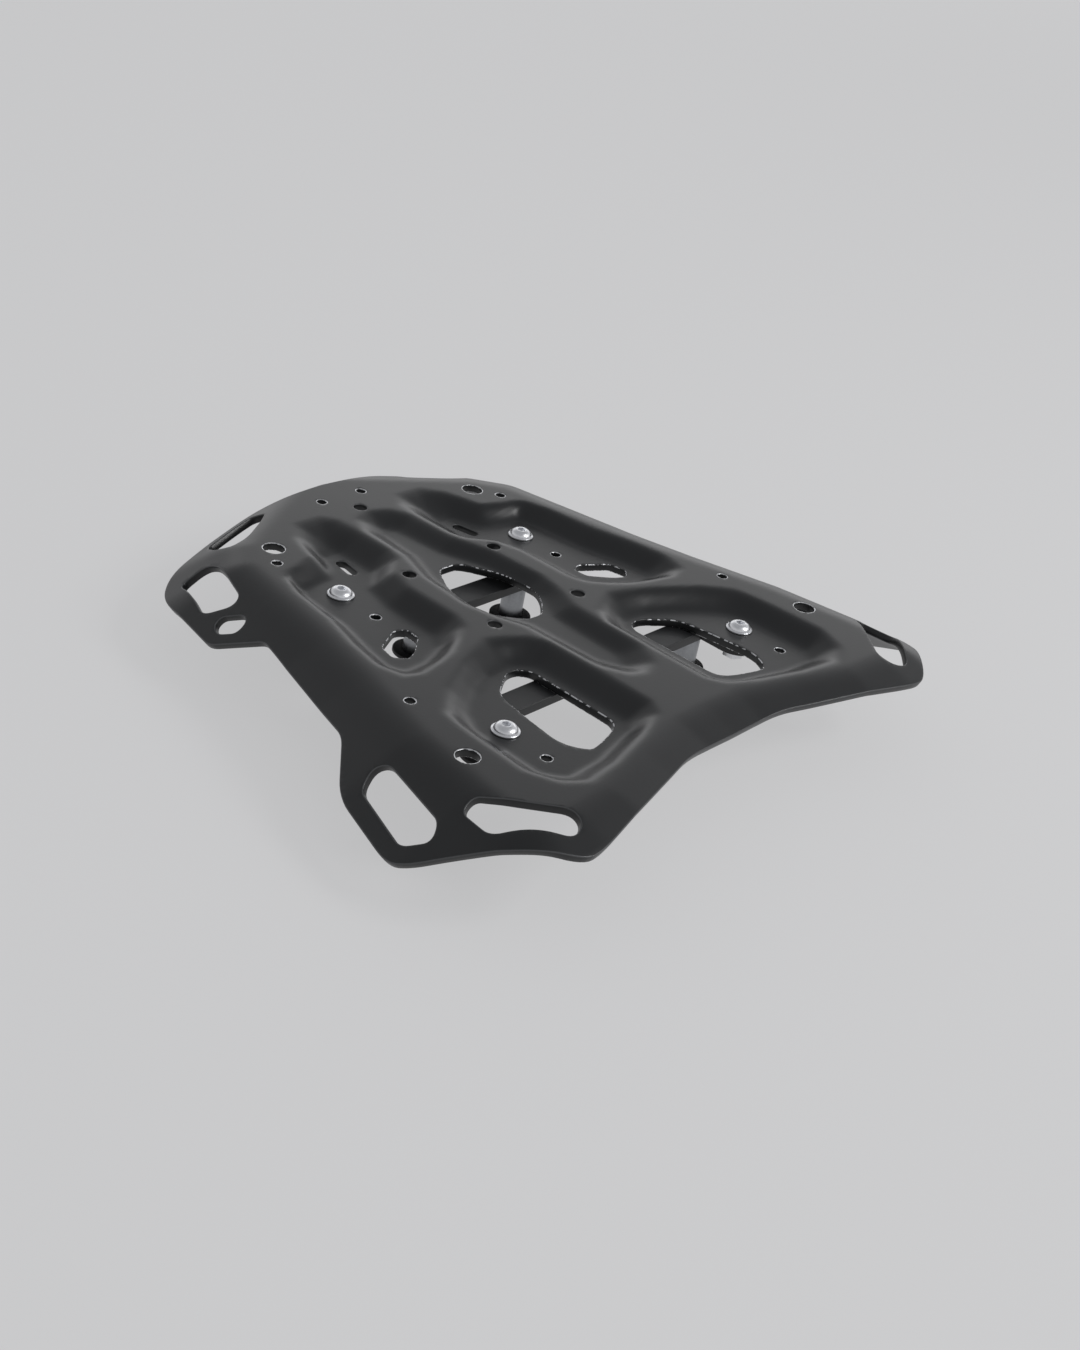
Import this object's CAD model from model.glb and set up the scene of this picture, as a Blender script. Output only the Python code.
import math
import bmesh
import bpy
import numpy as np
from mathutils import Matrix, Vector


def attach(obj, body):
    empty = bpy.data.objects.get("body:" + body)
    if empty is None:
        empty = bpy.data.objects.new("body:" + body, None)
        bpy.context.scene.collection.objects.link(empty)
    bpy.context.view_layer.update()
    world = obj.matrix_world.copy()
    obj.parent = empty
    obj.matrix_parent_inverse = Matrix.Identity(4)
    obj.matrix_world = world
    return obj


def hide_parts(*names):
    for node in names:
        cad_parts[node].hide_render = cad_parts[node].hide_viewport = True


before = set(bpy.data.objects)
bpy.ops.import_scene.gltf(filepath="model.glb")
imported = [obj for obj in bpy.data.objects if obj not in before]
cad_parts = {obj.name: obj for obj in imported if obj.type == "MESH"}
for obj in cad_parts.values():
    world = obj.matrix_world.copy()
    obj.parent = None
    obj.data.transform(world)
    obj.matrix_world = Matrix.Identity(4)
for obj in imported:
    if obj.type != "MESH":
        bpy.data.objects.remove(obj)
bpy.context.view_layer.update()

MM = 0.001
DECK_Z = 48.0          # top of the flat deck above the screws' lower ends, mm
PLAN_MID_Y = 25.9      # the plan's datum is the middle of the hole pattern
SHEET = 4.0            # thickness of the plate, mm

# The right half's holes as (x, y) in mm from the plan's datum, and their
# diameters: tapped for accessories, large, by the middle window, for the screws.
TAPPED, TAPPED_D = [(14.2, -110.3), (81.7, -69.7), (117.7, 58.4), (66.9, -14.1), (90.4, 117.5)], 5.0
LARGE, LARGE_D = [(72.5, -82.4), (128.8, 104.2)], 10.8
MIDDLE, MIDDLE_D = [(31.2, -28.1), (31.2, 30.3)], 7.2
SCREWS, SCREW_HOLE_D = {"rear": (66.5, -39.2), "front": (89.6, 92.0)}, 6.6
FEET = {"rear": (36.0, -13.2), "front": (77.0, 72.0)}


# ---------------------------------------------------------------- materials

# Sockets of the Mix node, for colours and for values, and of the Map Range node.
COLOUR_A, COLOUR_B, COLOUR_OUT = 6, 7, 2
VALUE_A, VALUE_B = 2, 3
FROM_MIN, FROM_MAX, TO_MIN, TO_MAX = 1, 2, 3, 4


def linear(hexcode):
    """sRGB hex colour as linear RGBA."""
    out = []
    for i in (0, 2, 4):
        c = int(hexcode[i:i + 2], 16) / 255
        out.append(c / 12.92 if c <= 0.04045 else ((c + 0.055) / 1.055) ** 2.4)
    return (*out, 1.0)


def add(tree, kind, links=(), **settings):
    """Adds a node, sets its sockets or properties, and links (socket, source) pairs."""
    n = tree.nodes.new(kind)
    for key, value in settings.items():
        if hasattr(n, key):
            setattr(n, key, value)
        else:
            n.inputs[key.replace("_", " ")].default_value = value
    for socket, source in links:
        tree.links.new(source, n.inputs[socket])
    return n


def scale_for(width):
    """The scale of a noise whose lumps are about that many mm wide."""
    return 1000 / width


def new_material(name):
    """An empty Principled material: itself, its tree, its shader and its
    Object coordinates."""
    m = bpy.data.materials.new(name)
    m.use_nodes = True
    t = m.node_tree
    t.nodes.clear()
    shader = add(t, "ShaderNodeBsdfPrincipled")
    add(t, "ShaderNodeOutputMaterial", [("Surface", shader.outputs[0])])
    where = add(t, "ShaderNodeTexCoord").outputs["Object"]
    return m, t, shader, where


def node_of(m, kind):
    return next(n for n in m.node_tree.nodes if n.type == kind)


def uneven(t, shader, noise, colours, roughness, smoother, rougher):
    """Lets a noise sway the surface between two colours, and its roughness
    from that much smoother to that much rougher."""
    mix = add(t, "ShaderNodeMix", [(0, noise)], data_type="RGBA")
    mix.inputs[COLOUR_A].default_value = linear(colours[0])
    mix.inputs[COLOUR_B].default_value = linear(colours[1])
    t.links.new(mix.outputs[COLOUR_OUT], shader.inputs["Base Color"])
    rough = add(t, "ShaderNodeMapRange", [(0, noise)])
    rough.inputs[TO_MIN].default_value = roughness - smoother
    rough.inputs[TO_MAX].default_value = roughness + rougher
    t.links.new(rough.outputs[0], shader.inputs["Roughness"])


def powder_coat(name, colours, roughness):
    """Polyester powder coat, sprayed and baked: a satin skin with a fine orange
    peel about 1.5 mm wide and a faint dusty unevenness some 45 mm wide."""
    m, t, shader, where = new_material(name)
    dust = add(t, "ShaderNodeTexNoise", [("Vector", where)], Scale=scale_for(45.4545),
               Detail=6.0, Roughness=0.6)
    uneven(t, shader, dust.outputs[0], colours, roughness, 0.03, 0.04)
    peel = add(t, "ShaderNodeTexNoise", [("Vector", where)], Scale=scale_for(1.53846), Detail=2.0)
    bump = add(t, "ShaderNodeBump", [("Height", peel.outputs[0])], Strength=0.10, Distance=0.2 * MM)
    t.links.new(bump.outputs[0], shader.inputs["Normal"])
    return m


def bare_metal(name, colours, roughness, grain):
    """Plated or turned metal: full metallic with a fine grain of the given size in mm."""
    m, t, shader, where = new_material(name)
    shader.inputs["Metallic"].default_value = 1.0
    cloud = add(t, "ShaderNodeTexNoise", [("Vector", where)], Scale=scale_for(grain), Detail=3.0)
    uneven(t, shader, cloud.outputs[0], colours, roughness, 0.06, 0.08)
    return m


def worn_to_metal(m, where_bare):
    """Lets bare aluminium, dulled by handling, show through a coat where the
    given mask is 1."""
    t = m.node_tree
    shader = node_of(m, "BSDF_PRINCIPLED")
    coat = shader.inputs["Base Color"].links[0].from_socket
    satin = shader.inputs["Roughness"].links[0].from_socket
    bare = add(t, "ShaderNodeMix", [(0, where_bare), (COLOUR_A, coat)], data_type="RGBA")
    bare.inputs[COLOUR_B].default_value = linear("d2d3d5")
    t.links.new(bare.outputs[COLOUR_OUT], shader.inputs["Base Color"])
    t.links.new(where_bare, shader.inputs["Metallic"])
    rough = add(t, "ShaderNodeMix", [(0, where_bare), (VALUE_A, satin)], data_type="FLOAT")
    rough.inputs[VALUE_B].default_value = 0.42
    t.links.new(rough.outputs[0], shader.inputs["Roughness"])


def round_the_holes(m, rims):
    """A mask that is 1 on a ragged worn ring at each (x, y, radius in mm), on
    both sides of the rack, and 0 down in the hole."""
    t = m.node_tree
    where = node_of(m, "TEX_COORD").outputs["Object"]
    apart = add(t, "ShaderNodeSeparateXYZ", [(0, where)])
    side = add(t, "ShaderNodeMath", [(0, apart.outputs[0])], operation="ABSOLUTE")
    plan = add(t, "ShaderNodeCombineXYZ", [(0, side.outputs[0]), (1, apart.outputs[1])])
    chips = add(t, "ShaderNodeTexNoise", [("Vector", where)], Scale=scale_for(1.428571), Detail=2.0)
    half_width = add(t, "ShaderNodeMapRange", [(0, chips.outputs[0])])
    for socket, value in ((FROM_MIN, 0.35), (FROM_MAX, 0.62),
                          (TO_MIN, 0.08 * MM), (TO_MAX, 0.34 * MM)):
        half_width.inputs[socket].default_value = value
    most = None
    for x, y, radius in rims:
        away = add(t, "ShaderNodeVectorMath", [(0, plan.outputs[0])], operation="DISTANCE")
        away.inputs[1].default_value = (x * MM, (y - PLAN_MID_Y) * MM, 0)
        on = add(t, "ShaderNodeMath", [(0, away.outputs["Value"]), (2, half_width.outputs[0])],
                 operation="COMPARE")
        on.inputs[1].default_value = radius * MM
        if most:
            on = add(t, "ShaderNodeMath", [(0, most.outputs[0]), (1, on.outputs[0])], operation="MAXIMUM")
        most = on
    return most.outputs[0]


def chipped(m, share):
    """A mask of small chips, cut from lumps some 2.4 mm wide. About the given
    share of the edge is bare."""
    t = m.node_tree
    where = node_of(m, "TEX_COORD").outputs["Object"]
    chips = add(t, "ShaderNodeTexNoise", [("Vector", where)], Scale=scale_for(2.380952), Detail=3.0)
    chip = add(t, "ShaderNodeMath", [(0, chips.outputs[0])], operation="GREATER_THAN")
    chip.inputs[1].default_value = 0.5 + 0.22 * (0.5 - share)
    return chip.outputs[0]


# Satin black plate, rubbed bright in a thin ring round its accessory holes.
RIM = 0.35             # from a hole's wall to the middle of its worn ring, mm
plate_coat = powder_coat("powder_coated_aluminium", ("151617", "1a1b1c"), 0.34)
rims = [(x, y, TAPPED_D / 2 + RIM) for x, y in TAPPED] + [(x, y, LARGE_D / 2 + RIM) for x, y in LARGE]
worn_to_metal(plate_coat, round_the_holes(plate_coat, rims))
# The same coat on sharp edges: it chips at the windows and thins elsewhere.
window_coat = powder_coat("powder_coat_chipped_at_the_windows", ("1b1c1d", "202122"), 0.34)
worn_to_metal(window_coat, chipped(window_coat, 0.40))
edge_coat = powder_coat("powder_coat_thinned_on_its_edges", ("38393a", "4c4d4e"), 0.36)
# Powder coated steel bar, a little duller than the plate.
bracket_coat = powder_coat("powder_coated_steel", ("161718", "1b1c1d"), 0.42)
# Moulded rubber, matt and dark.
washer_rubber = powder_coat("rubber_faced_washer", ("171718", "1d1d1e"), 0.62)
# Bright zinc: pale, and soft enough to gather the light of the whole studio.
zinc_plate = bare_metal("bright_zinc_plated_steel", ("e0e1e4", "f0f1f3"), 0.33, 0.9)
# Turned aluminium, grey with age.
turned_aluminium = bare_metal("turned_aluminium", ("8e9093", "a6a8ab"), 0.34, 1.2)
# Oiled black oxide: a dark metal with a dull shine.
black_oxide = bare_metal("black_oxide_steel", ("2c2c30", "36363a"), 0.38, 2.0)


# ------------------------------------------------------------ modelling tools

def only(obj):
    """Selects the object alone and makes it active."""
    bpy.ops.object.select_all(action="DESELECT")
    obj.select_set(True)
    bpy.context.view_layer.objects.active = obj


def modified(obj, kind, **settings):
    """Adds one modifier and applies it."""
    only(obj)
    m = obj.modifiers.new(kind.lower(), kind)
    for key, value in settings.items():
        setattr(m, key, value)
    bpy.ops.object.modifier_apply(modifier=m.name)
    return obj


def cut(obj, cutter):
    """Takes the cutter out of the piece and deletes it."""
    modified(obj, "BOOLEAN", operation="DIFFERENCE", object=cutter, solver="EXACT")
    bpy.data.objects.remove(cutter)
    return obj


def turned(name, profile, sides=48, ends=(True, True)):
    """A turned piece round Z: a circle is drawn and extruded from ring to ring
    along the (radius, z) profile in mm, and its two ends are closed."""
    bpy.ops.object.select_all(action="DESELECT")
    r, z = profile[0]
    bpy.ops.mesh.primitive_circle_add(vertices=sides, radius=r * MM, location=(0, 0, z * MM),
                                      fill_type="NGON" if ends[0] else "NOTHING")
    obj = bpy.context.view_layer.objects.active
    obj.name = name
    bpy.ops.object.transform_apply(location=True)
    bpy.ops.object.mode_set(mode="EDIT")
    bm = bmesh.from_edit_mesh(obj.data)
    if ends[0]:
        bmesh.ops.delete(bm, geom=list(bm.faces), context="FACES_ONLY")
        bmesh.update_edit_mesh(obj.data)
    bpy.ops.mesh.select_all(action="SELECT")
    for r1, z1 in profile[1:]:
        bpy.ops.mesh.extrude_edges_move(TRANSFORM_OT_translate={"value": (0, 0, (z1 - z) * MM)})
        bpy.ops.transform.resize(value=(r1 / r, r1 / r, 1), center_override=(0, 0, z1 * MM))
        r, z = r1, z1
    if ends[1]:
        bpy.ops.mesh.edge_face_add()
    if ends[0]:
        bm = bmesh.from_edit_mesh(obj.data)
        r0, z0 = profile[0]
        for e in bm.edges:
            e.select_set(all(abs(v.co.z - z0 * MM) < 1e-7 and abs(v.co.xy.length - r0 * MM) < 1e-6
                             for v in e.verts))
        bmesh.update_edit_mesh(obj.data)
        bpy.ops.mesh.edge_face_add()
    bpy.ops.mesh.select_all(action="SELECT")
    bpy.ops.mesh.remove_doubles(threshold=1e-6)
    bpy.ops.mesh.normals_make_consistent(inside=False)
    bpy.ops.object.mode_set(mode="OBJECT")
    return obj


def raised(level, profile):
    """The (radius, height) profile with its heights counted from the level."""
    return [(r, level + z) for r, z in profile]


def hexagon(across, z0, z1):
    """A hexagonal bar from z0 to z1, its size across the flats, in mm."""
    bpy.ops.object.select_all(action="DESELECT")
    bpy.ops.mesh.primitive_cylinder_add(vertices=6, radius=across / math.sqrt(3) * MM,
                                        depth=(z1 - z0) * MM, location=(0, 0, (z0 + z1) / 2 * MM))
    bar = bpy.context.view_layer.objects.active
    bpy.ops.object.transform_apply(location=True)
    return bar


def finish(obj, material, smooth=35):
    """Gives the piece its material, and smooth faces up to that angle in degrees."""
    obj.data.materials.clear()
    obj.data.materials.append(material)
    only(obj)
    bpy.ops.object.shade_smooth_by_angle(angle=math.radians(smooth))
    return obj


def stand_in(obj, node):
    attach(obj, "root")
    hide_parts(node)


# ------------------------------------------------- the plate: plan and form

# Right half of the plan in mm: x, y, corner radius.
OUTLINE = [(0, -126.4, 0), (23, -124.8, 20), (62, -123.6, 12), (80, -124, 20),
           (105, -118.2, 14), (117.5, -109.5, 12), (126.4, -96, 9), (135.4, -54.5, 4),
           (125.4, -28, 3), (129.2, -14, 8), (147.8, 48.5, 5), (169.4, 71.5, 9),
           (181.66, 113, 9), (179, 122, 7), (171, 134, 10), (162.6, 147.4, 8),
           (155, 160, 10), (134.3, 178.2, 11), (123, 178.2, 10), (92, 170.5, 20),
           (56, 161, 20), (33, 155, 16), (0, 155, 0)]
# Openings of the right half: the strap ears and slots, then the pans' windows.
EARS = [
    # rear ear
    [(113.8, -101.8, 4), (102, -99.5, 5), (101.2, -91, 4), (112, -61.5, 4), (117.2, -60, 4),
     (125, -71.5, 4)],
    # slot beside the rear ear
    [(123, -60.6, 2.5), (118.8, -50, 3), (121, -45.8, 2.5), (126.6, -45.8, 3), (130, -55, 3),
     (127, -60.6, 2.5)],
    # slot in the rear edge
    [(48.5, -116.4, 2), (54, -120.4, 2), (84, -118.2, 4), (89.5, -106, 3), (86.5, -98, 4),
     (75, -99.5, 8), (56, -110.8, 3)],
    # side ear
    [(163.8, 78.4, 4), (155, 75.4, 4), (151.4, 81, 4), (161.4, 120.5, 4), (168.5, 124.4, 4),
     (174.6, 113.5, 4)],
    # front ear
    [(154.6, 126.2, 4), (146.6, 125.2, 4), (143.2, 130.5, 5), (120.6, 156, 5),
     (122.2, 164.6, 5), (131.4, 168.2, 5), (156.6, 144.4, 5)]]
WINDOWS = [
    # front window
    [(43.4, 57.6, 4), (51, 57.6, 4), (68.5, 68.6, 7), (72.6, 90, 12), (75.6, 113, 7),
     (68.4, 124, 6), (62, 123.6, 6), (45.6, 119, 6), (39.6, 114, 5), (38.8, 63, 5)],
    # side window
    [(62.6, 3.2, 2), (68.6, 0.4, 2.5), (85, 8.6, 2.5), (87.2, 18, 2), (81.6, 22.8, 2),
     (74.6, 20, 3), (63.4, 11, 2)]]
MIDDLE_WINDOW = [(0, -30, 0), (7, -30, 6), (18.6, -12, 8), (21, 9, 8), (17.2, 18.6, 6),
                 (5.4, 29.8, 5), (0, 29.8, 0)]
# Rims and floors of the drawn forms, and the edges of the flat deck.
REAR_PAN = [(20, -90), (27, -99), (46, -99), (56, -88), (62, -68), (74, -62), (88, -58),
            (93, -44), (98, -16), (105, 6), (109, 27), (106, 42), (94, 46), (66, 38), (45, 25),
            (41, 15), (41, -18), (36, -32), (24, -42), (20, -52)]
REAR_FLOOR = [(37, -72), (47, -72), (52, -60), (58, -54), (80, -53), (84, -42), (86, -14),
              (92, 8), (95, 24), (91, 30), (80, 30), (62, 23), (56, 12), (55, -18), (50, -38),
              (37, -50)]
FRONT_PAN = [(20, 56), (26, 46), (46, 37), (72, 46), (96, 58), (112, 72), (115, 94), (117, 124),
             (110, 141), (96, 149), (72, 145), (44, 137), (26, 130), (20, 120)]
FRONT_FLOOR = [(35, 62), (42, 55), (60, 56), (76, 64), (94, 76), (101, 86), (102, 124),
               (95, 132), (74, 131), (42, 123), (35, 116)]
GROOVE = [(0, -92), (13, -88), (19, -76), (20, -46), (27, -24), (29, 8), (25, 26), (20, 40),
          (19, 84), (11, 99), (0, 103)]
GROOVE_FLOOR = [(0, -76), (4, -72), (7, -44), (17, -22), (21, 6), (18, 18), (8, 34), (6, 76),
                (0, 86)]
DECK = [(0, -140), (4, -130), (40, -110), (78, -88), (90, -74), (97, -40), (105, 0), (114, 35),
        (128, 82), (135.5, 125), (138.5, 160), (148, 230), (0, 230)]
LIP = [(0, -300), (300, -300), (300, 150), (150, 150), (120, 153), (95, 151), (60, 141),
       (24, 133), (0, 132)]
PAN_DEPTH = 7.5
GROOVE_DEPTH = 4.8
FLANGE_SLOPE, FLANGE_BEND = 0.801, 24.0   # tan(38.7 deg), and its bend in mm
LIP_SLOPE, LIP_BEND = 0.38, 14.0
EASE = 0.45            # radius on the blank's edges, mm
CUT = 2.25             # side of the squares that the blank bends along, mm
SOFT = 2.2             # how far the press eases each bend, mm
CHIPS_REACH = 1.5      # how far from a window its edges chip, mm
COAT, AT_WINDOW, AT_EDGE = 0, 1, 2        # the plate's three material slots


def mirrored(half):
    """The closed plan of a right half given from the middle line round to it."""
    return list(half) + [(-p[0], *p[1:]) for p in reversed(half) if p[0] > 0.001]


def rounded(poly, steps=6):
    """The polygon with each corner as a short curve."""
    out = []
    for i, (x, y, r) in enumerate(poly):
        p = Vector((x, y))
        if r == 0:
            out.append(p)
            continue
        a, b = Vector(poly[i - 1][:2]), Vector(poly[(i + 1) % len(poly)][:2])
        s = p + (a - p).normalized() * min(r, 0.48 * (a - p).length)
        e = p + (b - p).normalized() * min(r, 0.48 * (b - p).length)
        for k in range(steps + 1):
            t = k / steps
            out.append((1 - t) ** 2 * s + 2 * t * (1 - t) * p + t * t * e)
    return out


def circle(x, y, d, n=40):
    angles = [2 * math.pi * k / n for k in range(n)]
    return [Vector((x + d / 2 * math.cos(a), y + d / 2 * math.sin(a))) for a in angles]


def inside(x, y, poly):
    """Signed distance to the polygon's edge, positive inside, for arrays of points."""
    near = np.full(x.shape, 1e9)
    within = np.zeros(x.shape, bool)
    for i in range(len(poly)):
        ax, ay = poly[i][:2]
        bx, by = poly[(i + 1) % len(poly)][:2]
        dx, dy = bx - ax, by - ay
        t = np.clip(((x - ax) * dx + (y - ay) * dy) / (dx * dx + dy * dy), 0, 1)
        near = np.minimum(near, np.hypot(x - ax - t * dx, y - ay - t * dy))
        if ay != by:
            within ^= ((ay > y) != (by > y)) & (x < dx * (y - ay) / dy + ax)
    return np.where(within, near, -near)


def drawn(x, y, rim, floor):
    """0 on the rim of a drawn form and beyond it, 1 on its floor."""
    a = np.maximum(inside(x, y, rim), 0)
    b = np.maximum(-inside(x, y, floor), 0)
    t = a / (a + b + 1e-9)
    return np.where(a > 0, t * t * (3 - 2 * t), 0)


def hang(d, slope, bend):
    """How far the sheet hangs at a distance past a bend line: a curve, then a slope."""
    return slope * np.where(d <= 0, 0, np.where(d < bend, d * d / (2 * bend), d - bend / 2))


def plate_top(x, y):
    """Height of the plate's top over the deck, in mm."""
    q = np.abs(x)
    return (-PAN_DEPTH * drawn(q, y, REAR_PAN, REAR_FLOOR)
            - PAN_DEPTH * drawn(q, y, FRONT_PAN, FRONT_FLOOR)
            - GROOVE_DEPTH * drawn(x, y, mirrored(GROOVE), mirrored(GROOVE_FLOOR))
            - hang(-inside(q, y, mirrored(DECK)), FLANGE_SLOPE, FLANGE_BEND)
            - hang(-inside(q, y, mirrored(LIP)), LIP_SLOPE, LIP_BEND))


def pressed(x, y):
    """The plate's top with its bends eased over a few millimetres."""
    return (plate_top(x, y) * 2 + plate_top(x - SOFT, y) + plate_top(x + SOFT, y)
            + plate_top(x, y - SOFT) + plate_top(x, y + SOFT)) / 6


def blanked(name, loops, thickness, ease):
    """A flat blank: its outline and holes as one filled curve with the edges
    eased, made a mesh."""
    curve = bpy.data.curves.new(name, "CURVE")
    curve.dimensions = "2D"
    curve.fill_mode = "BOTH"
    for loop in loops:
        spline = curve.splines.new("POLY")
        spline.points.add(len(loop) - 1)
        for point, p in zip(spline.points, loop):
            point.co = (p.x, p.y, 0, 1)
        spline.use_cyclic_u = True
    curve.extrude = thickness / 2 - ease
    curve.bevel_depth = ease
    curve.bevel_resolution = 2
    curve.offset = -ease
    blank = bpy.data.objects.new(name, curve)
    bpy.context.scene.collection.objects.link(blank)
    only(blank)
    bpy.ops.object.convert(target="MESH")
    return bpy.context.view_layer.objects.active


def strap_slot(rear, front, r):
    """A slot of radius r round the line from its rear end to its front end."""
    along = (front - rear).normalized()
    loop = []
    for end, turn in ((front, 0), (rear, math.pi)):
        loop += [end + r * (Matrix.Rotation(a, 2) @ along)
                 for a in np.linspace(turn - math.pi / 2, turn + math.pi / 2, 13)]
    return loop


def plate_blank():
    """The plate's flat blank with all its openings."""
    loops = [rounded(mirrored(OUTLINE)), rounded(mirrored(MIDDLE_WINDOW)),
             circle(0, -95.9, MIDDLE_D)]
    for s in (1, -1):
        half = [rounded(w) for w in EARS + WINDOWS]
        half += [circle(x, y, LARGE_D) for x, y in LARGE]
        half += [circle(x, y, TAPPED_D) for x, y in TAPPED]
        half += [circle(x, y, MIDDLE_D) for x, y in MIDDLE]
        half += [circle(x, y, SCREW_HOLE_D) for x, y in SCREWS.values()]
        half.append(strap_slot(Vector((42.9, -63.6)), Vector((44.7, -54.2)), 2.9))
        loops += [[Vector((s * p.x, p.y)) for p in loop] for loop in half]
    return blanked("plate", loops, SHEET, EASE)


def cut_strips(bm, faces, cuts):
    """Cuts the faces along every (axis, place) line, halving the lot each time."""
    if not cuts or not faces:
        return
    middle = len(cuts) // 2
    axis, at = cuts[middle]
    co, no = Vector((0, 0, 0)), Vector((0, 0, 0))
    co[axis], no[axis] = at, 1
    geom = [*{v for f in faces for v in f.verts}, *{e for f in faces for e in f.edges}, *faces]
    cut = bmesh.ops.bisect_plane(bm, geom=geom, dist=0.001, plane_co=co, plane_no=no)["geom"]
    low, high = [], []
    for f in cut:
        if isinstance(f, bmesh.types.BMFace):
            (low if f.calc_center_bounds()[axis] < at else high).append(f)
    cut_strips(bm, low, cuts[:middle])
    cut_strips(bm, high, cuts[middle + 1:])


def merge_fill(bm):
    """Dissolves the edges that the curve's fill left across the squares."""
    bm.normal_update()
    fill = []
    for e in bm.edges:
        a, b = (v.co for v in e.verts)
        slanting = min(abs(a.x - b.x), abs(a.y - b.y)) > 0.001
        if slanting and len(e.link_faces) == 2 and all(abs(f.normal.z) > 0.99 for f in e.link_faces):
            fill.append(e)
    bmesh.ops.dissolve_edges(bm, edges=fill, use_verts=True, use_face_split=False)
    bm.normal_update()


def coat_edges(bm):
    """Gives the eased edges the thinned coat, or the chipped one at a window.
    Those of the accessory holes keep the plate's, which is rubbed there."""
    eased = [f for f in bm.faces if 0.05 < abs(f.normal.z) < 0.99]
    middle = np.array([f.calc_center_median()[:2] for f in eased])
    x, y = np.abs(middle[:, 0]), middle[:, 1]
    windows = WINDOWS + [mirrored(MIDDLE_WINDOW)]
    at_window = np.max([inside(x, y, w) for w in windows], 0) > -CHIPS_REACH
    at_hole = np.min([np.hypot(x - hx, y - hy) for hx, hy in TAPPED + LARGE], 0) < LARGE_D / 2 + 0.8
    for f, window, hole in zip(eased, at_window, at_hole):
        f.material_index = COAT if hole else AT_WINDOW if window else AT_EDGE


def draw_plate(blank):
    """Cuts the blank into small squares, so that it can bend, and presses it
    into its drawn form, with the sheet's thickness square to its surface."""
    bm = bmesh.new()
    bm.from_mesh(blank.data)
    bmesh.ops.remove_doubles(bm, verts=bm.verts, dist=0.002)
    off_points = 0.013     # keeps the cuts clear of points that lie on round numbers
    for axis, low, high in ((0, -180, 180), (1, -124, 176)):
        count = int((high - low) / CUT) + 1
        cut_strips(bm, list(bm.faces), [(axis, low + k * CUT + off_points) for k in range(count)])
    merge_fill(bm)
    coat_edges(bm)
    co = np.array([v.co[:] for v in bm.verts])
    x, y, depth = co[:, 0], co[:, 1], SHEET / 2 - co[:, 2]
    reach = 1.5            # over which the slope is taken, mm
    normal = np.stack([(pressed(x - reach, y) - pressed(x + reach, y)) / (2 * reach),
                       (pressed(x, y - reach) - pressed(x, y + reach)) / (2 * reach),
                       np.ones(len(x))], 1)
    normal /= np.linalg.norm(normal, axis=1)[:, None]
    top = np.stack([x, y - PLAN_MID_Y, pressed(x, y) + DECK_Z], 1)
    for v, p in zip(bm.verts, (top - depth[:, None] * normal) * MM):
        v.co = p
    bmesh.ops.recalc_face_normals(bm, faces=bm.faces)
    bm.to_mesh(blank.data)
    bm.free()
    blank.data.update()


plate = plate_blank()
for coat in (plate_coat, window_coat, edge_coat):
    plate.data.materials.append(coat)
draw_plate(plate)
only(plate)
bpy.ops.object.shade_smooth_by_angle(angle=math.radians(40))
stand_in(plate, "rack_plate")


# ------------------------------------------------------------- the brackets

PAN_TOP = DECK_Z - PAN_DEPTH                # levels over the screws' lower ends, mm
PAN_UNDER = PAN_TOP - SHEET
BRACKET = 5.0                               # thickness of the bars
BRACKET_UNDER = PAN_UNDER - BRACKET
SLEEVE, WASHER = 17.5, 2.0                  # their heights
SLEEVE_UNDER = BRACKET_UNDER - SLEEVE
FOOT = SLEEVE_UNDER - WASHER
FOOT_BORE_D = 8.6                           # through the brackets, sleeves and washers


def bracket(end, bar_width=14.6, pad=25.0):
    """A cross bar with an arm and a round pad at each end, eased all round,
    drilled for the plate screws and countersunk for the feet."""
    x, y = SCREWS[end]
    foot_x, bar_y = FEET[end]
    away = 1 if y > bar_y else -1
    r, corner = pad / 2, 1.5
    arc = [(x + r * math.cos(a), y + away * r * math.sin(a)) for a in np.linspace(0, math.pi, 25)]
    near, far = bar_y - away * bar_width / 2, bar_y + away * bar_width / 2
    right = [(x + r - corner, near), (x + r, near + away * corner)] + arc + [(x - r, far)]
    loops = [[Vector(p) for p in right] + [Vector((-px, py)) for px, py in reversed(right)]]
    for s in (1, -1):
        loops.append(circle(s * x, y, SCREW_HOLE_D))
        loops.append(circle(s * foot_x, bar_y, FOOT_BORE_D))
        if end == "rear":      # the pan's tapped hole goes on through this bar
            tapped_x, tapped_y = TAPPED[3]
            loops.append(circle(s * tapped_x, tapped_y, TAPPED_D))
    piece = blanked(end + "_bracket_bar", loops, BRACKET, 0.5)
    piece.data.transform(Matrix.Translation((0, 0, PAN_UNDER - BRACKET / 2)))
    piece.data.transform(Matrix.Scale(MM, 4))
    modified(piece, "WELD", merge_threshold=2e-6)
    for s in (1, -1):
        sink = turned("sink", raised(PAN_UNDER, [(4.3, -4.6), (4.31, -4.2), (8.6, 0.1), (8.6, 1)]))
        sink.data.transform(Matrix.Translation((s * foot_x * MM, bar_y * MM, 0)))
        cut(piece, sink)
    piece.data.transform(Matrix.Translation((0, -PLAN_MID_Y * MM, 0)))
    finish(piece, bracket_coat, 30)
    stand_in(piece, end + "_bracket")


bracket("rear")
bracket("front")


# ------------------------------------------------------------ the fasteners

def threaded(r, z0, z1, pitch):
    """The profile of a rolled thread from z0 up to z1: crest, flank, root, flank."""
    rings, depth, n = [], 0.6 * pitch, round((z1 - z0) / pitch)
    for k in range(n):
        z = z0 + k * (z1 - z0) / n
        rings += [(r, z), (r, z + 0.15 * pitch),
                  (r - depth, z + 0.5 * pitch), (r - depth, z + 0.62 * pitch)]
    return rings + [(r, z1)]


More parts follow.
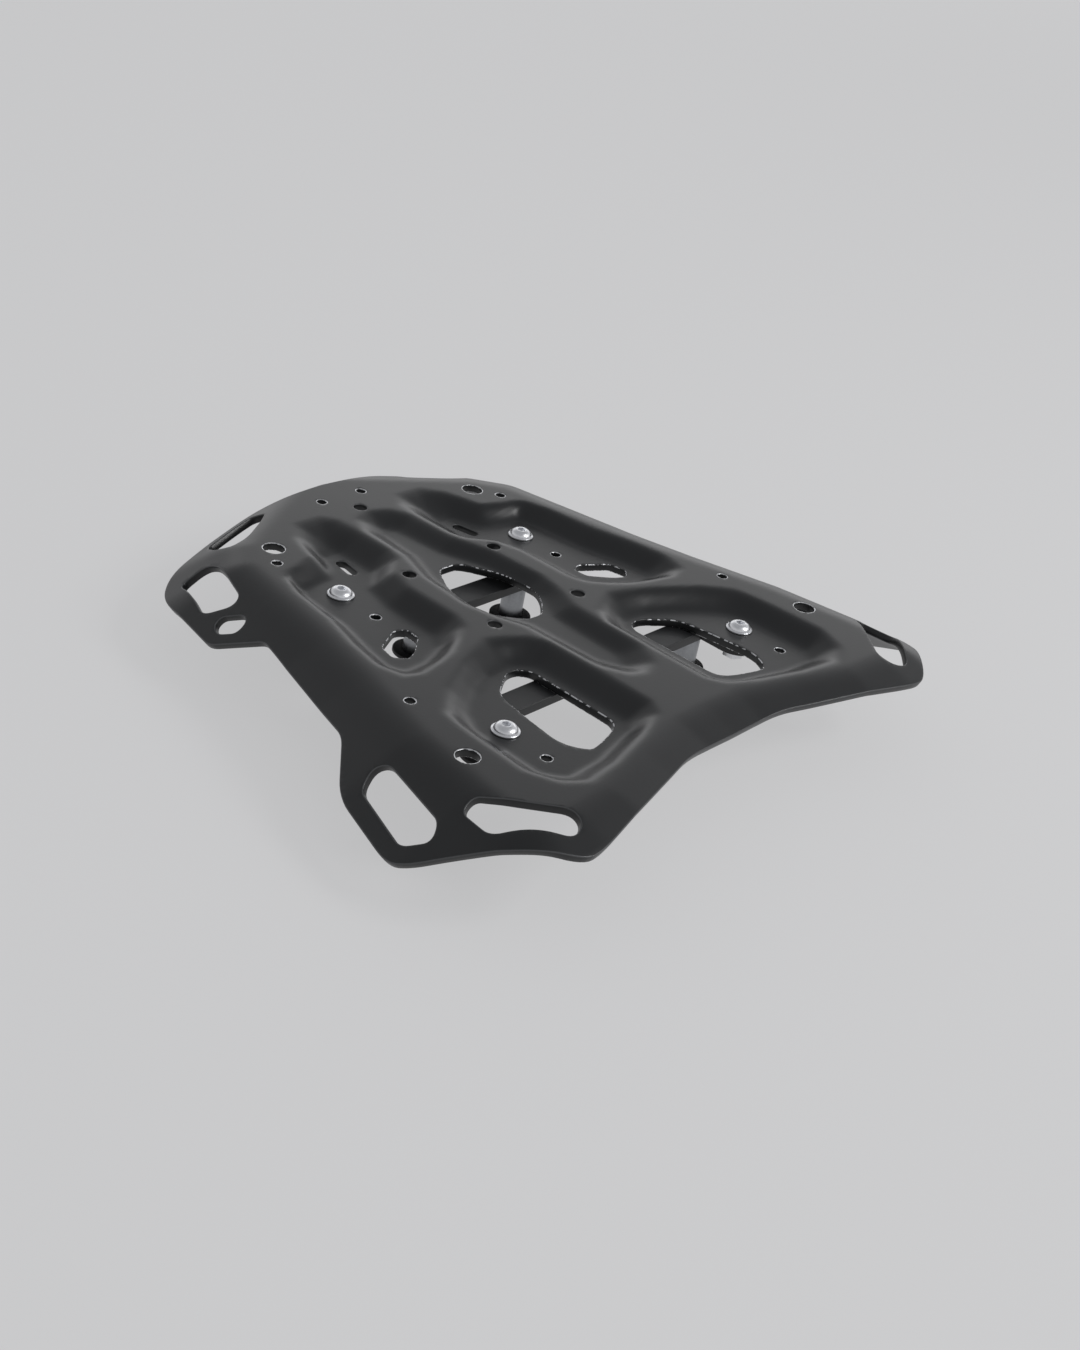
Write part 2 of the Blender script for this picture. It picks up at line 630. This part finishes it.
# Button head on a flange, 6 mm thread: the flange's edge, then the dome.
screw = turned("plate_screw", raised(PAN_TOP, [(2.2, -16.5), (2.4, -16.5)])
               + threaded(3.0, PAN_TOP - 15.9, PAN_TOP - 8.9, 1.0)
               + raised(PAN_TOP, [(3.0, 0), (6.55, 0), (6.8, 0.25), (6.8, 0.8), (6.6, 1.02), (6.1, 1.15),
                                  (5.75, 1.3), (5.6, 1.75), (5.25, 2.4), (4.7, 2.95), (4.0, 3.4),
                                  (3.3, 3.68), (2.9, 3.78), (2.75, 3.8)]), 64)
cut(screw, hexagon(4.0, PAN_TOP + 1.8, PAN_TOP + 5))
finish(screw, zinc_plate)

# Flange nut under the bracket's pad: a hexagon, its flange and its bore.
nut = hexagon(10.0, BRACKET_UNDER - 6.0, BRACKET_UNDER - 1.2)
modified(nut, "BEVEL", width=0.35 * MM, segments=2)
flange = turned("flange", raised(BRACKET_UNDER, [(4.6, -2.2), (5.2, -2.0), (6.9, -1.1), (7.1, -0.8),
                                                 (7.1, -0.2), (6.9, 0), (4.6, 0)]))
modified(nut, "BOOLEAN", operation="UNION", object=flange, solver="EXACT")
bpy.data.objects.remove(flange)
cut(nut, turned("bore", raised(BRACKET_UNDER, [(3.05, -8), (3.05, 2)])))
finish(nut, zinc_plate)

# Countersunk foot screw, 8 mm thread, with a relief groove under its shank.
foot_screw = turned("bike_screw", [(3.0, 0.0), (3.2, 0.0)] + threaded(4.0, 0.8, 10.3, 1.25)
                    + raised(FOOT, [(4.0, -1.5), (3.1, -1.3), (3.0, -1.1),
                                    (3.0, -0.15), (3.15, 0), (4.0, 0.05)])
                    + raised(PAN_UNDER, [(4.0, -4.3), (7.95, -0.5), (8.0, -0.42),
                                         (7.8, -0.3), (3.6, -0.3)]))
cut(foot_screw, hexagon(5.0, PAN_UNDER - 2.8, PAN_UNDER + 2))
finish(foot_screw, black_oxide)


def ring(name, outer, z0, z1, ease, material):
    """A round sleeve or washer with eased outer edges and a chamfered bore."""
    bore, slight = FOOT_BORE_D / 2, 0.3 * ease
    lower = [(bore, ease), (bore + ease, 0), (outer - ease, 0), (outer - slight, slight), (outer, ease)]
    upper = [(r, -z) for r, z in reversed(lower)]
    profile = raised(z0, lower) + raised(z1, upper) + raised(z0, lower[:1])
    piece = turned(name, profile, 64, ends=(False, False))
    return finish(piece, material)


sleeve = ring("sleeve", 6.0, SLEEVE_UNDER, BRACKET_UNDER, 0.5, turned_aluminium)
washer = ring("seat_washer", 11.0, FOOT, SLEEVE_UNDER, 0.35, washer_rubber)


def four(first, kind, places):
    """A copy of the piece, with a mesh of its own, at each of the four places."""
    for end, (x, y) in places.items():
        for side, s in (("left", -1), ("right", 1)):
            piece = first.copy()
            piece.data = first.data.copy()
            piece.name = kind + "_copy_" + end + "_" + side
            bpy.context.scene.collection.objects.link(piece)
            piece.data.transform(Matrix.Translation((s * x * MM, (y - PLAN_MID_Y) * MM, 0)))
            stand_in(piece, kind + "_" + end + "_" + side)
    bpy.data.objects.remove(first)


four(screw, "plate_screw", SCREWS)
four(nut, "flange_nut", SCREWS)
four(foot_screw, "bike_screw", FEET)
four(sleeve, "sleeve", FEET)
four(washer, "seat_washer", FEET)


# ------------------------------------------------------------------- studio

def stage_floor():
    """A pale sweep. What the camera and the reflections see of it is partly its
    own glow, so the backdrop stays even and the shadow on it is soft."""
    glow_share = 0.72
    bpy.ops.object.select_all(action="DESELECT")
    bpy.ops.mesh.primitive_plane_add(size=12, location=(0, 0, 0))
    floor = bpy.context.view_layer.objects.active
    floor.name = "floor"
    m, t, paper, _ = new_material("backdrop_paper")
    paper.inputs["Base Color"].default_value = linear("d0d0d1")
    paper.inputs["Roughness"].default_value = 0.9
    glow = add(t, "ShaderNodeEmission", Color=linear("d4d4d5"), Strength=1.0)
    path = add(t, "ShaderNodeLightPath")
    rays = [(0, path.outputs["Is Camera Ray"]), (1, path.outputs["Is Glossy Ray"])]
    seen = add(t, "ShaderNodeMath", rays, operation="MAXIMUM")
    share = add(t, "ShaderNodeMapRange", [(0, seen.outputs[0])])
    share.inputs[TO_MAX].default_value = glow_share
    both = add(t, "ShaderNodeMixShader",
               [(0, share.outputs[0]), (1, paper.outputs[0]), (2, glow.outputs[0])])
    t.links.new(both.outputs[0], node_of(m, "OUTPUT_MATERIAL").inputs[0])
    floor.data.materials.append(m)


def studio_world():
    """A studio that is bright low down and dimmer overhead, so that the deck and
    the slopes facing away from the camera shine, and those facing it stay dark."""
    world = bpy.data.worlds.new("studio")
    bpy.context.scene.world = world
    world.use_nodes = True
    sky = world.node_tree
    toward = add(sky, "ShaderNodeTexCoord").outputs["Generated"]
    up = add(sky, "ShaderNodeSeparateXYZ", [(0, toward)]).outputs[2]
    height = add(sky, "ShaderNodeValToRGB", [(0, up)])
    low, top = height.color_ramp.elements
    low.position, low.color = 0.0, linear("dcdcde")
    top.position, top.color = 1.0, linear("9fa0a3")
    for at, colour in ((0.30, "d6d6d8"), (0.55, "bebfc1"), (0.78, "9fa0a3")):
        height.color_ramp.elements.new(at).color = linear(colour)
    background = sky.nodes["Background"]
    sky.links.new(height.outputs[0], background.inputs["Color"])
    background.inputs["Strength"].default_value = 0.95


def area_light(name, at, size, power):
    """A rectangular lamp, in metres and watts, aimed at the middle of the rack's foot."""
    bpy.ops.object.light_add(type="AREA", location=at)
    lamp = bpy.context.view_layer.objects.active
    lamp.name = name
    lamp.data.shape = "RECTANGLE"
    lamp.data.size, lamp.data.size_y = size
    lamp.data.energy = power
    lamp.rotation_euler = (-Vector(at)).to_track_quat("-Z", "Y").to_euler()


stage_floor()
studio_world()
area_light("back_softbox", (-3.4, -2.6, 1.1), (5.0, 1.6), 20)
area_light("key_light", (-0.75, 1.3, 1.25), (0.7, 0.7), 14)

# The camera, as fitted to the symmetric pairs of holes: its focal length is in
# pixels of the 1080 x 1350 frame, whose longer side is the sensor's width.
FRAME_HEIGHT, FOCAL_PIXELS, SENSOR = 1350.0, 1900.0, 36.0
camera_data = bpy.data.cameras.new("camera")
camera = bpy.data.objects.new("camera", camera_data)
bpy.context.scene.collection.objects.link(camera)
camera_data.sensor_width = SENSOR
camera_data.lens = FOCAL_PIXELS / FRAME_HEIGHT * SENSOR
camera_data.clip_start = 0.01
right = Vector((-0.6517663, 0.7383428, 0.1733511))
down = Vector((0.2696604, 0.4392374, -0.8569444))
ahead = Vector((-0.7088610, -0.5117816, -0.4853819))
turn = Matrix((right, -down, -ahead)).transposed()
camera.matrix_world = Matrix.Translation((0.6701, 0.4977, 0.4734)) @ turn.to_4x4()
bpy.context.scene.camera = camera
bpy.context.scene.view_settings.view_transform = "Standard"
